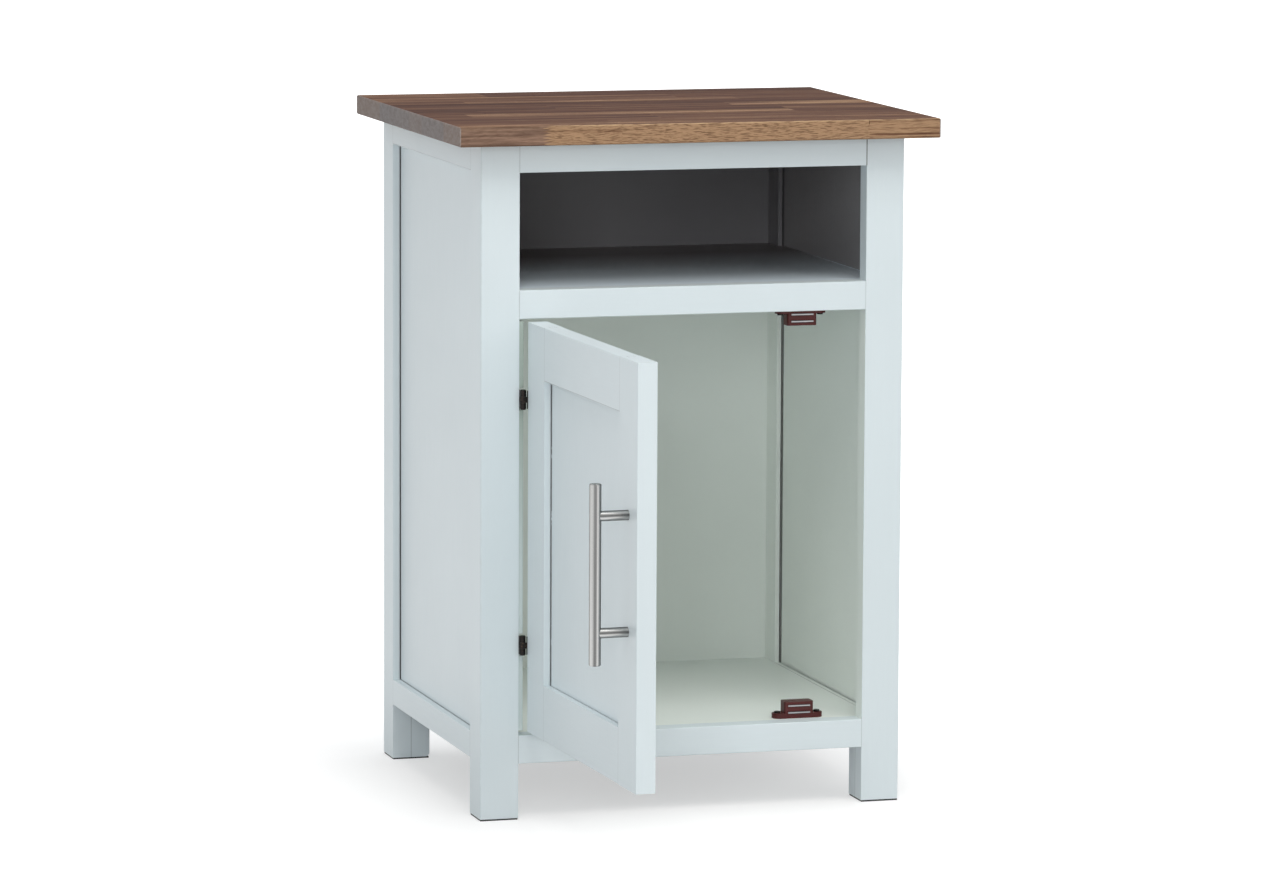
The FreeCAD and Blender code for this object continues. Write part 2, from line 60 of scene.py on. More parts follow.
# ---- Colours (linear) ------------------------------------------------------------------------------
PAINT = (0.775, 0.848, 0.872)
WORN_PAINT = (0.60, 0.62, 0.60)
# Inside the cupboard: painted light, a lighter and greener copy of the paint for the light in there.
INSIDE_PAINTED_LIGHT = (0.920, 0.960, 0.912)
# The cubby: painted shade, darker on its back than on its sides.
CUBBY_BACK_SHADE = (0.228, 0.220, 0.230)
CUBBY_SIDE_SHADE = (0.360, 0.350, 0.355)
# The shelf's top: painted light at the front, painted shade at the back.
SHELF_PAINTED_LIGHT = (0.81, 0.91, 0.98)
SHELF_PAINTED_SHADE = (0.235, 0.215, 0.220)
# The hinge strips: painted shade, deep above and lighter below.
STRIP_DEEP_SHADE = (0.42, 0.49, 0.44)
STRIP_LIGHT_SHADE = (0.62, 0.70, 0.69)
# Inside the grooves: bare wood, darkened by painted shade.
GROOVE_WOOD_AND_SHADE = (0.060, 0.024, 0.016)
SEAM = (0.30, 0.32, 0.32)
# The dark lines: gaps and joints, and the painted shade beside and under them.
CRACK_AND_SHADE = (0.035, 0.025, 0.022)
WOOD_DARK = (0.056, 0.024, 0.017)
WOOD_MIDDLE = (0.114, 0.053, 0.036)
WOOD_LIGHT = (0.215, 0.113, 0.067)
WOOD_GOLD = (0.440, 0.270, 0.156)
WOOD_GREY = (0.262, 0.165, 0.120)
ARRIS_GOLD = (0.62, 0.43, 0.25)
# End grain: its tone with a painted sheen, which greys it.
WARM_END_GRAIN_AND_SHEEN = ((0.285, 0.228, 0.204), (0.350, 0.292, 0.266))
COOL_END_GRAIN_AND_SHEEN = ((0.255, 0.227, 0.222), (0.318, 0.288, 0.278))
BRUSHED_STEEL = (0.43, 0.43, 0.425)
ZINC_STEEL = (0.34, 0.345, 0.35)
POLE_GREY = (0.36, 0.36, 0.37)
BRONZE_DARK = (0.009, 0.007, 0.006)
BRONZE_RUBBED = (0.085, 0.055, 0.035)
CATCH_BROWN = (0.080, 0.015, 0.014)
FERRITE_BLACK = (0.012, 0.011, 0.012)
GLIDE_BLACK = (0.035, 0.034, 0.033)
WHITE = (1.0, 1.0, 1.0)

# ---- Places, in metres, from the frame -------------------------------------------------------------
# The door's pieces are painted in the places that they have when the door is shut.
DOOR_HINGE = frame["joints"][0]
PIN = DOOR_HINGE["pos_m"][:2]
DOOR_TURN = math.radians(DOOR_HINGE["range_deg"][1])


def shut(point):
    """Where a point of the open door is when the door is shut."""
    x, y = point.x - PIN[0], point.y - PIN[1]
    return Vector((
        PIN[0] + x * math.cos(DOOR_TURN) - y * math.sin(DOOR_TURN),
        PIN[1] + x * math.sin(DOOR_TURN) + y * math.cos(DOOR_TURN),
        point.z,
    ))


def span(node, axis):
    """A node's lowest and highest place along an axis, in the shut door for the door's nodes."""
    points = [vert.co for vert in nodes[node].data.vertices]
    if node_body[node] == "door":
        points = [shut(point) for point in points]
    places = [point["xyz".index(axis)] for point in points]
    return min(places), max(places)


# The cabinet's two sides are alike, so the right one gives the places of both.
BOARD_EDGE, SIDE_FACE = span("side_stile_rear_right", "x")
STILE_EDGE, BACK_FACE = span("side_stile_rear_right", "y")
FRONT_FACE, FRAME_BACK = span("front_stile_right", "y")
POST_EDGE = span("front_stile_right", "x")[0]
BOTTOM_RAIL = span("front_rail_bottom", "z")
SHELF_RAIL = span("front_rail_shelf", "z")
TOP_RAIL = span("front_rail_top", "z")
LOW_SIDE_RAIL = span("side_rail_bottom_right", "z")
PANEL_INNER, PANEL_OUTER = span("side_panel_right", "x")
PANEL_LOW = LOW_SIDE_RAIL[1]
PANEL_HIGH = span("side_rail_top_right", "z")[0]
BACK_PANEL = span("back_panel", "y")
FLOOR_TOP = span("floor_board", "z")[1]
SHELF_TOP = span("shelf_board", "z")[1]
DOOR_FACE = span("door_stile_hinge", "y")[0]
DOOR_PANEL = span("door_panel", "y")
FIELD_LEFT = span("door_stile_hinge", "x")[1]
FIELD_RIGHT = span("door_stile_free", "x")[0]
FIELD_LOW = span("door_rail_lower", "z")[1]
FIELD_HIGH = span("door_rail_upper", "z")[0]
TOP_LOW, TOP_HIGH = span("top_panel", "z")
TOP_FRONT = span("top_panel", "y")[0]
TOP_END = span("top_panel", "x")[1]

# Where the paint inside the cabinet changes, a little past its openings' edges.
INSIDE_HALF = (PANEL_INNER + PANEL_OUTER) / 2
INSIDE_FRONT = FRAME_BACK + 0.0003
INSIDE_BACK = sum(BACK_PANEL) / 2
CUPBOARD_LEVELS = (FLOOR_TOP - 0.0007, SHELF_RAIL[0] + 0.0007)
CUBBY_LEVELS = (SHELF_TOP + 0.0003, TOP_RAIL[1] - 0.0005)
SIDE_WALL_LIMITS = (BOARD_EDGE - 0.0025, STILE_EDGE - 0.0008)    # farther out than this, and before this y
SHELF_SHADE = (-0.034, 0.102)   # painted shade: the y where the shelf's paint begins to darken, and where it is darkest
STRIP_CHANGE = 0.30             # the z where the hinge strips' painted shade changes

# The lines that are painted on the boards, from their lower to their higher edge.
FADE = 0.0002                   # half of the width in which a line's edge fades
FACE_SKIN = 0.001               # how deep a board's face takes its lines
JOINT_HALF = 0.0003             # half the width of a faint joint
POST_JOINT_HALF = 0.0004
LEG_JOINT_HALF = 0.0005
CRACK_HALF = 0.0006
CRACK_FADE = 0.0005             # how far a crack's ends fade
FIELD_FADE = 0.0004             # how far the edges of the door's field do
REAR_LEG = 0.10                 # the rear legs are behind this y
TOP_JOINTS = (TOP_RAIL[0], TOP_RAIL[1] - 0.001)
OPEN_JOINT = (POST_EDGE - 0.00055, POST_EDGE + 0.00025)
# The cracks beside the side panels reach past their gaps: painted shade on the panel beside each gap.
FRONT_CRACK = (-STILE_EDGE - 0.0002, -STILE_EDGE + 0.0010)
REAR_CRACK = (STILE_EDGE - 0.0031, STILE_EDGE + 0.0001)
INSIDE_CRACK = (STILE_EDGE - 0.0029, STILE_EDGE + 0.0001)
# Painted shade along the side panels' foot and head, where they meet their rails.
FOOT_SHADE_LINE = (PANEL_LOW - 0.0002, PANEL_LOW + 0.0010)
HEAD_SHADE_LINE = (PANEL_HIGH - 0.0001, PANEL_HIGH + 0.0009)
# The door's crack beside its panel is wider than its gap: painted shade beside the gap.
DOOR_CRACK = (FIELD_LEFT + 0.0001, FIELD_LEFT + 0.0019)
# Painted shadow under the door's upper rail.
DOOR_HEAD_SHADE_LINE = (FIELD_HIGH - 0.0001, FIELD_HIGH + 0.0009)

# The panels' grooves are bare wood inside, darkened by painted shade. Each pair of plays is the room beside a
# panel, towards the lower and the higher place on the axis across it. Faces are looked for with a little slack.
GROOVE_DEPTH = 0.008
SIDE_GROOVE_PLAYS = (0.0016, 0.0006)
DOOR_GROOVE_PLAYS = (0.0007, 0.0002)
SLACK = 0.0001
SIDE_GROOVE = (PANEL_INNER - SIDE_GROOVE_PLAYS[0] - SLACK, PANEL_OUTER + SIDE_GROOVE_PLAYS[1] + SLACK)
SIDE_GROOVE_ENDS = (STILE_EDGE - SLACK, STILE_EDGE + GROOVE_DEPTH + SLACK)
SIDE_GROOVE_LEVELS = (
    (PANEL_LOW - GROOVE_DEPTH - SLACK, PANEL_LOW + SLACK),
    (PANEL_HIGH - SLACK, PANEL_HIGH + GROOVE_DEPTH + SLACK),
)
DOOR_GROOVE = (DOOR_PANEL[0] - DOOR_GROOVE_PLAYS[0] - SLACK, DOOR_PANEL[1] + DOOR_GROOVE_PLAYS[1] + SLACK)
DOOR_FIELD = ((FIELD_LEFT + SLACK, FIELD_RIGHT - SLACK), (FIELD_LOW + SLACK, FIELD_HIGH - SLACK))

# The top's staves, from the back to the front: each one's front edge, as a y, and its pieces, as the x
# where a piece starts and how light its wood is. FAR is past every edge of the top.
FAR = 1.0
STAVES = (
    (0.125, ((-FAR, 0.58), (-0.111, 0.28))),
    (0.089, ((-FAR, 0.56), (0.063, 0.42))),
    (0.053, ((-FAR, 0.46), (-0.150, 0.64), (0.115, 0.48))),
    (0.017, ((-FAR, 0.21), (0.020, 0.19))),
    (-0.022, ((-FAR, 0.38), (-0.085, 0.32), (0.087, 0.70))),
    (-0.067, ((-FAR, 0.18), (-0.165, 0.28), (0.125, 0.42))),
    (-0.097, ((-FAR, 0.30), (-0.186, 0.67), (0.124, 0.22))),
    (-0.145, ((-FAR, 0.34), (-0.020, 0.40))),
    (-0.175, ((-FAR, 0.44), (-0.076, 0.49))),
    (-FAR, ((-FAR, 0.72), (-0.076, 0.56))),
)

# The top's front edge has a finger joint near the left and a cracked butt joint near the right.
FINGER_JOINT = -0.1415
FINGER_HEIGHT = 0.00142
FINGER_SLOPE = 6.0
BUTT_JOINT = 0.1575
BUTT_CRACK_LOW = 0.6290

# Most of a noise's values lie in these ranges. The narrow one gives more contrast.
NOISE_WIDE = (0.3, 0.7)
NOISE_NARROW = (0.35, 0.65)
THIN_PAINT = 0.975              # the share of its colour that thin paint keeps
BRUSH_MARK = 0.955              # and the share that it keeps in a brush mark


# ---- Node helpers ----------------------------------------------------------------------------------
class Graph:
    """A node tree with short calls for its nodes. Masks are 1 where they hold and 0 elsewhere."""

    def __init__(self, tree):
        self.tree = tree

    def add(self, kind, **settings):
        node = self.tree.nodes.new(kind)
        for key, value in settings.items():
            setattr(node, key, value)
        return node

    def put(self, value, socket):
        """Links an output, or sets a plain value, on an input."""
        if isinstance(value, bpy.types.NodeSocket):
            self.tree.links.new(value, socket)
        elif socket.type == "RGBA" and len(value) == 3:
            socket.default_value = (*value, 1.0)
        else:
            socket.default_value = value

    def feed(self, node, *values):
        """Puts values on a node's first inputs and gives its first output."""
        for value, socket in zip(values, node.inputs):
            self.put(value, socket)
        return node.outputs[0]

    def math(self, operation, *values):
        return self.feed(self.add("ShaderNodeMath", operation=operation), *values)

    def vector(self, operation, *values):
        return self.feed(self.add("ShaderNodeVectorMath", operation=operation), *values)

    def join(self, x, y, z):
        return self.feed(self.add("ShaderNodeCombineXYZ"), x, y, z)

    def split(self, vector):
        node = self.add("ShaderNodeSeparateXYZ")
        self.put(vector, node.inputs[0])
        return node.outputs

    def spread(self, value, low, high, to_low=0.0, to_high=1.0):
        """Maps a value from one range onto another, and holds it at the ends."""
        return self.feed(self.add("ShaderNodeMapRange"), value, low, high, to_low, to_high)

    def above(self, value, limit, softness=FADE):
        return self.spread(value, limit - softness, limit + softness)

    def below(self, value, limit, softness=FADE):
        return self.opposite(self.above(value, limit, softness))

    def between(self, value, low, high, softness=FADE):
        return self.every(self.above(value, low, softness), self.below(value, high, softness))

    def near(self, value, target, half, softness=FADE):
        return self.between(value, target - half, target + half, softness)

    def opposite(self, mask):
        return self.math("SUBTRACT", 1.0, mask)

    def every(self, first, *others):
        """The product of masks or values."""
        total = first
        for mask in others:
            total = self.math("MULTIPLY", total, mask)
        return total

    def either(self, first, *others):
        """The largest of masks or values."""
        total = first
        for mask in others:
            total = self.math("MAXIMUM", total, mask)
        return total


class Finish(Graph):
    """A material's node tree, its shader and the place that its textures use."""

    def __init__(self, name):
        self.material = bpy.data.materials.new(name)
        self.material.use_nodes = True
        super().__init__(self.material.node_tree)
        self.shader = self.tree.nodes["Principled BSDF"]
        self.use_place(self.add("ShaderNodeTexCoord").outputs["Object"])

    def use_place(self, place):
        self.place = place
        self.x, self.y, self.z = self.split(place)

    def use_shut_place(self):
        """Turns the open door's place to where it is when the door is shut."""
        turn = self.add("ShaderNodeVectorRotate", rotation_type="Z_AXIS")
        self.put(self.place, turn.inputs["Vector"])
        turn.inputs["Center"].default_value = (*PIN, 0.0)
        turn.inputs["Angle"].default_value = DOOR_TURN
        self.use_place(turn.outputs[0])

    def attribute(self, name):
        return self.add("ShaderNodeAttribute", attribute_name=name).outputs["Fac"]

    def stretch(self, factors, place=None):
        """The place, scaled by three factors, for noise that is long in one direction."""
        return self.vector("MULTIPLY", place or self.place, factors)

    def noise(self, vector, scale=1.0, detail=3.0, roughness=0.5, distortion=0.0):
        node = self.add("ShaderNodeTexNoise")
        self.put(vector, node.inputs["Vector"])
        node.inputs["Scale"].default_value = scale
        node.inputs["Detail"].default_value = detail
        node.inputs["Roughness"].default_value = roughness
        node.inputs["Distortion"].default_value = distortion
        return node.outputs["Fac"]

    def mix(self, factor, first, second):
        """Mixes two colours."""
        node = self.add("ShaderNodeMix", data_type="RGBA")
        self.put(factor, node.inputs[0])
        self.put(first, node.inputs[6])
        self.put(second, node.inputs[7])
        return node.outputs[2]

    def mix_value(self, factor, first, second):
        node = self.add("ShaderNodeMix", data_type="FLOAT")
        self.put(factor, node.inputs[0])
        self.put(first, node.inputs[2])
        self.put(second, node.inputs[3])
        return node.outputs[0]

    def ramp(self, value, stops):
        """Colours along a value, from pairs of a position and its colour."""
        node = self.add("ShaderNodeValToRGB")
        self.put(value, node.inputs[0])
        elements = node.color_ramp.elements
        elements.remove(elements[1])
        elements[0].position, elements[0].color = stops[0][0], (*stops[0][1], 1.0)
        for position, colour in stops[1:]:
            elements.new(position).color = (*colour, 1.0)
        return node.outputs[0]

    def bump(self, height, strength, distance, normal=None):
        node = self.add("ShaderNodeBump")
        node.inputs["Strength"].default_value = strength
        node.inputs["Distance"].default_value = distance
        self.put(height, node.inputs["Height"])
        if normal:
            self.put(normal, node.inputs["Normal"])
        return node.outputs[0]

    def finish(self, colour, roughness, normal=None, **sockets):
        """Feeds the shader, and sets what is the same all over on its own sockets."""
        self.put(colour, self.shader.inputs["Base Color"])
        self.put(roughness, self.shader.inputs["Roughness"])
        if normal:
            self.put(normal, self.shader.inputs["Normal"])
        for key, value in sockets.items():
            self.shader.inputs[key.replace("_", " ")].default_value = value
        return self.material


def scaled(colour, factor):
    return tuple(channel * factor for channel in colour)


# ---- Paint -----------------------------------------------------------------------------------------
def carcass_seams(g, across):
    """Lines on the fixed boards: the faint joints, and the dark lines with how dark each is; the cracks are
    widened, and the foot and head lines made, by painted shade.
    """
    long_y = g.math("ABSOLUTE", g.y)
    on_front = g.below(g.y, FRONT_FACE + FACE_SKIN)
    on_side = g.above(across, SIDE_FACE - FACE_SKIN)
    on_panel = g.near(across, PANEL_OUTER, CRACK_HALF)
    on_leg = g.below(g.z, BOTTOM_RAIL[0])
    beside_board = g.near(across, BOARD_EDGE, LEG_JOINT_HALF)
    top_rail = g.between(g.z, TOP_JOINTS[0] + FADE, TOP_JOINTS[1])
    front_rails = g.either(
        g.between(g.z, SHELF_RAIL[0] + FADE, SHELF_RAIL[1] - FADE),
        top_rail,
        g.between(g.z, BOTTOM_RAIL[0] + FADE, BOTTOM_RAIL[1] - FADE),
    )
    side_rails = g.either(g.between(g.z, LOW_SIDE_RAIL[0] + FADE, LOW_SIDE_RAIL[1] - FADE), top_rail)
    faint = [
        g.every(g.near(across, POST_EDGE, JOINT_HALF), front_rails, on_front),
        g.every(g.near(long_y, STILE_EDGE, JOINT_HALF), side_rails, on_side),
        g.every(beside_board, on_leg, g.above(g.y, REAR_LEG)),
        g.every(g.near(g.y, FRAME_BACK, CRACK_HALF), on_leg, g.near(across, POST_EDGE, POST_JOINT_HALF)),
        g.every(
            beside_board, g.near(g.z, PANEL_LOW, CRACK_HALF), g.below(long_y, STILE_EDGE - LEG_JOINT_HALF)
        ),
    ]
    open_joint = g.every(g.between(g.x, *OPEN_JOINT), g.between(g.z, *TOP_JOINTS), on_front)
    panel_ends = g.either(g.between(g.y, *REAR_CRACK), g.between(g.y, *FRONT_CRACK))
    crack = g.every(on_panel, panel_ends, g.between(g.z, PANEL_LOW, PANEL_HIGH, CRACK_FADE))
    inside_crack = g.every(
        g.near(across, PANEL_INNER, CRACK_HALF),
        g.between(g.y, *INSIDE_CRACK),
        g.between(g.z, PANEL_LOW, SHELF_RAIL[0] + FADE, CRACK_FADE),
    )
    between_stiles = g.below(long_y, STILE_EDGE)
    # Painted shade along the side panel's foot and head.
    foot_shade = g.every(on_panel, g.between(g.z, *FOOT_SHADE_LINE), between_stiles)
    head_shade = g.every(on_side, g.between(g.z, *HEAD_SHADE_LINE), between_stiles)
    lines = ((open_joint, 0.9), (crack, 0.95), (inside_crack, 0.85), (foot_shade, 0.30), (head_shade, 0.30))
    return faint, lines


def door_seams(g):
    """Lines on the shut door: the faint joints, and the dark lines with how dark each is; the crack is widened,
    and the head line made, by painted shade.
    """
    on_face = g.below(g.y, DOOR_FACE + FACE_SKIN)
    on_panel = g.near(g.y, DOOR_PANEL[0], CRACK_HALF)
    joints = g.either(g.near(g.x, FIELD_LEFT, JOINT_HALF), g.near(g.x, FIELD_RIGHT, JOINT_HALF))
    rails = g.either(g.below(g.z, FIELD_LOW - FADE), g.above(g.z, FIELD_HIGH + FADE))
    in_field = g.every(
        g.between(g.z, FIELD_LOW, FIELD_HIGH, FIELD_FADE),
        g.between(g.x, FIELD_LEFT, FIELD_RIGHT, FIELD_FADE),
    )
    breaks = g.above(g.noise(g.stretch((1.0, 1.0, 60.0)), 1.0, 3.0, 0.6), 0.40, 0.04)
    crack = g.every(on_panel, in_field, g.between(g.x, *DOOR_CRACK), breaks)
    # Painted shadow under the door's upper rail.
    head_shade = g.every(
        on_face, g.between(g.z, *DOOR_HEAD_SHADE_LINE), g.between(g.x, FIELD_LEFT, FIELD_RIGHT)
    )
    return [g.every(joints, rails)], ((crack, 0.9), (head_shade, 0.30))


def paint_inside(g, tone, thin, across):
    """The tones inside the cabinet, and a mask of what is inside.

    Painted light and shade: the cupboard's paint is lighter and greener than outside, the cubby is painted dark
    for its shade, its side lighter than its back, and its shelf is painted darker towards the back.
    """
    inner = g.every(
        g.between(g.y, INSIDE_FRONT, INSIDE_BACK, 0.0001), g.below(across, INSIDE_HALF, 0.0001)
    )
    stile_edge = g.every(
        g.near(g.x, POST_EDGE, JOINT_HALF), g.between(g.y, FRONT_FACE + 0.0006, INSIDE_FRONT)
    )
    cupboard = g.every(g.either(inner, stile_edge), g.between(g.z, *CUPBOARD_LEVELS, 0.0001))
    # Painted light: the cupboard's lighter, greener paint.
    tone = g.mix(cupboard, tone, g.mix(thin, scaled(INSIDE_PAINTED_LIGHT, THIN_PAINT), INSIDE_PAINTED_LIGHT))
    on_side_panel = g.every(g.above(across, SIDE_WALL_LIMITS[0], 0.0005), g.below(g.y, SIDE_WALL_LIMITS[1], 0.0003))
    cubby = g.every(inner, g.between(g.z, *CUBBY_LEVELS, 0.0001))
    # Painted shade in the cubby, its sides lighter than its back.
    tone = g.mix(cubby, tone, g.mix(on_side_panel, CUBBY_BACK_SHADE, CUBBY_SIDE_SHADE))
    on_shelf = g.every(inner, g.near(g.z, SHELF_TOP, 0.0004))
    # Painted shade on the shelf, darker towards the back.
    tone = g.mix(on_shelf, tone, g.mix(g.spread(g.y, *SHELF_SHADE), SHELF_PAINTED_LIGHT, SHELF_PAINTED_SHADE))
    return tone, inner


def paint(name, axis, on_door=False, strip_shade=False):
    """Satin paint on a board: faint brush marks along it, thinner paint on the arrises, its seams, and painted
    light and shade inside the cabinet and along some seams.
    """
    g = Finish(name)
    if on_door:
        g.use_shut_place()
    along = [7.0, 7.0, 7.0]
    along["xyz".index(axis)] = 0.5
    marks = g.noise(g.stretch(along), 70.0, 4.0, 0.6)
    orange_peel = g.noise(g.place, 900.0, 2.0, 0.5)
    mottle = g.noise(g.place, 6.0, 3.0, 0.55)
    thin = g.spread(mottle, *NOISE_NARROW)
    tone = g.mix(thin, scaled(PAINT, THIN_PAINT), PAINT)
    tone = g.mix(g.spread(marks, *NOISE_WIDE, 0.0, 0.3), tone, scaled(PAINT, BRUSH_MARK))
    worn = g.attribute("wear")
    if on_door:
        faint, lines = door_seams(g)
    else:
        across = g.math("ABSOLUTE", g.x)
        tone, inner = paint_inside(g, tone, thin, across)
        worn = g.every(worn, g.opposite(inner))
        faint, lines = carcass_seams(g, across)
    if strip_shade:
        # Painted shade on the hinge strips: darker above, lighter below.
        tone = g.mix(g.above(g.z, STRIP_CHANGE, 0.07), STRIP_LIGHT_SHADE, STRIP_DEEP_SHADE)
    wear = g.every(worn, g.spread(g.noise(g.place, 45.0, 4.0, 0.7), 0.42, 0.75))
    tone = g.mix(g.every(wear, 0.35), tone, WORN_PAINT)
    for mask in faint:
        tone = g.mix(g.every(mask, 0.40), tone, SEAM)
    # Dark joints and gaps, with painted shade beside and under them.
    for mask, darkness in lines:
        tone = g.mix(g.every(mask, darkness), tone, CRACK_AND_SHADE)
    # Bare wood in the grooves, darkened by painted shade.
    tone = g.mix(g.attribute("raw"), tone, g.mix(thin, scaled(GROOVE_WOOD_AND_SHADE, 0.6), GROOVE_WOOD_AND_SHADE))
    rough = g.math("ADD", g.spread(marks, *NOISE_WIDE, 0.34, 0.44), g.every(wear, 0.15))
    fine = g.bump(orange_peel, 0.06, 0.0002)
    return g.finish(tone, rough, g.bump(marks, 0.08, 0.0005, fine), Specular_IOR_Level=0.35)


# ---- Wood ------------------------------------------------------------------------------------------
def butcher_block():
    """Oiled hardwood staves: tone per piece, streaks and pores along the grain, end grain greyed by painted sheen.
    """
    g = Finish("butcher_block")
    seed = g.attribute("seed")
    shift = g.join(g.every(seed, 3.7), g.every(seed, 1.3), g.every(seed, 2.1))
    place = g.vector("ADD", g.place, shift)
    sway = g.noise(g.stretch((6.0, 20.0, 20.0), place), 1.0, 2.0, 0.5)
    bent = g.vector("ADD", place, g.join(0.0, g.every(sway, 0.012), g.every(sway, 0.006)))
    bands = g.noise(g.stretch((2.2, 95.0, 95.0), bent), 1.0, 3.0, 0.55)
    streaks = g.noise(g.stretch((9.0, 480.0, 480.0), bent), 1.0, 4.0, 0.65)
    dashes = g.noise(g.stretch((105.0, 1200.0, 1200.0), bent), 1.0, 2.0, 0.5)
    pores = g.noise(g.stretch((110.0, 1900.0, 1900.0), bent), 1.0, 2.0, 0.5)

    # The front edge has a tone of its own for each of its three pieces.
    on_front = g.below(g.y, TOP_FRONT + 0.0009)
    fingers = g.math("PINGPONG", g.math("SUBTRACT", g.z, TOP_LOW), FINGER_HEIGHT)
    golden = g.above(g.math("ADD", g.x, g.every(fingers, FINGER_SLOPE)), FINGER_JOINT, 0.0003)
    right_piece = g.above(g.x, BUTT_JOINT)
    front_tone = g.math("SUBTRACT", g.spread(golden, 0.0, 1.0, 0.84, 1.10), g.every(right_piece, 0.42))
    tone = g.mix_value(on_front, g.attribute("tone"), front_tone)
    tone = g.math("ADD", tone, g.spread(bands, *NOISE_WIDE, -0.34, 0.36))
    tone = g.math("ADD", tone, g.spread(streaks, *NOISE_WIDE, -0.36, 0.36))
    colour = g.ramp(tone, ((0.0, WOOD_DARK), (0.38, WOOD_MIDDLE), (0.75, WOOD_LIGHT), (0.9583, WOOD_GOLD)))
    grey = g.mix(g.spread(streaks, *NOISE_NARROW), scaled(WOOD_GREY, 0.62), scaled(WOOD_GREY, 1.28))
    left_piece = g.every(on_front, g.opposite(golden))
    colour = g.mix(g.every(left_piece, 0.85), colour, grey)

    porous = g.math("SUBTRACT", g.spread(golden, 0.0, 1.0, 0.45, 1.0), g.every(right_piece, 0.5))
    dark_pores = g.either(g.above(pores, 0.60, 0.06), g.above(dashes, 0.57, 0.05))
    dark_pores = g.every(dark_pores, porous, g.spread(on_front, 0.0, 1.0, 0.50, 0.62))
    colour = g.mix(dark_pores, colour, scaled(WOOD_DARK, 1.3))
    crack = g.every(
        g.near(g.x, BUTT_JOINT, JOINT_HALF, 0.0001),
        g.above(g.z, BUTT_CRACK_LOW, 0.0006),
        g.below(g.y, TOP_FRONT + 0.004, 0.001),
    )
    colour = g.mix(g.every(crack, 0.8), colour, scaled(WOOD_DARK, 0.4))

    # End grain: rings that each stave has somewhere else, in a warmer or a cooler grey that is partly painted
    # sheen.
    on_end = g.above(g.math("ABSOLUTE", g.x), TOP_END - 0.0008)
    rings = g.noise(g.stretch((30.0, 110.0, 260.0), place), 1.0, 3.0, 0.6, 0.6)
    light_ring = g.spread(rings, *NOISE_NARROW)
    hue = g.noise(g.join(seed, 0.0, 0.0), 0.73, 0.0)
    end_tone_and_sheen = g.mix(
        g.spread(hue, 0.40, 0.60), g.mix(light_ring, *WARM_END_GRAIN_AND_SHEEN), g.mix(light_ring, *COOL_END_GRAIN_AND_SHEEN)
    )
    colour = g.mix(on_end, colour, end_tone_and_sheen)

    # The arrises are rubbed; the upper front one has a light gold line.
    arris = g.attribute("wear")
    wear = g.every(arris, g.spread(g.noise(g.place, 60.0, 4.0, 0.7), 0.4, 0.7))
    colour = g.mix(g.every(wear, 0.25), colour, WOOD_LIGHT)
    front_arris = g.every(
        golden, arris, g.above(g.z, TOP_HIGH - 0.001, 0.0003), g.below(g.y, TOP_FRONT + 0.0012, 0.0004)
    )
    gold_line = g.every(front_arris, g.spread(dashes, 0.35, 0.6, 0.75, 0.1))
    colour = g.mix(gold_line, colour, ARRIS_GOLD)

    rough = g.spread(streaks, *NOISE_WIDE, 0.52, 0.66)
    height = g.math("ADD", streaks, g.every(pores, -0.4))
    return g.finish(colour, rough, g.bump(height, 0.18, 0.0004), Specular_IOR_Level=0.015)


# ---- Metal, plastic and rubber ---------------------------------------------------------------------
REFLECTION_BAND_COUNT = 5.0             # how many bands of painted reflection a drawn rod has round it


def metal(name, colour, roughness, grain, streak, bands=None):
    """Metal with fine lines along its length; grain gives the noise's factors along X, Y and Z.

    A drawn rod also has dark bands of painted reflection round it: bands gives its two cross axes and the first
    band's angle.
    """
    g = Finish(name)
    lines = g.noise(g.stretch(grain), 1.0, 4.0, 0.65)
    spots = g.noise(g.place, 180.0, 3.0, 0.6)
    dark, light = scaled(colour, 1.0 - streak), scaled(colour, 1.0 + streak * 0.5)
    tone = g.mix(g.spread(lines, *NOISE_WIDE), dark, light)
    tone = g.mix(g.spread(spots, 0.45, 0.8, 0.0, 0.2), tone, scaled(colour, 0.75))
    if bands:
        first, second, angle = bands
        normal = g.split(g.add("ShaderNodeTexCoord").outputs["Normal"])
        turn = g.math("SUBTRACT", g.math("ARCTAN2", normal[second], normal[first]), math.radians(angle))
        wave = g.math("COSINE", g.every(turn, REFLECTION_BAND_COUNT))
        # Painted reflection: dark bands round the rod.
        tone = g.mix(g.spread(wave, -0.5, 0.9, 0.0, 0.95), tone, scaled(colour, 0.25))
    rough = g.spread(lines, *NOISE_WIDE, roughness * 0.8, roughness * 1.25)
    return g.finish(tone, rough, g.bump(lines, 0.15, 0.0001), Metallic=1.0)


def bronze():
    """Dark lacquered brass, rubbed brighter in places."""
    g = Finish("dark_bronze")
    spots = g.noise(g.place, 420.0, 4.0, 0.7)
    gold_line = g.spread(spots, 0.56, 0.72)
    tone = g.mix(gold_line, BRONZE_DARK, BRONZE_RUBBED)
    return g.finish(tone, g.spread(gold_line, 0.0, 1.0, 0.42, 0.28), g.bump(spots, 0.2, 0.0001), Metallic=0.7)


def moulded(name, colour, roughness, specular=0.5):
    """Moulded plastic or rubber: a fine even texture and slight unevenness of colour."""
    g = Finish(name)
    texture = g.noise(g.place, 600.0, 3.0, 0.6)
    mottle = g.noise(g.place, 60.0, 3.0, 0.5)
    tone = g.mix(g.spread(mottle, *NOISE_NARROW), scaled(colour, 0.85), scaled(colour, 1.1))
    rough = g.spread(texture, *NOISE_WIDE, roughness * 0.85, roughness * 1.15)
    return g.finish(tone, rough, g.bump(texture, 0.12, 0.0002), Specular_IOR_Level=specular)


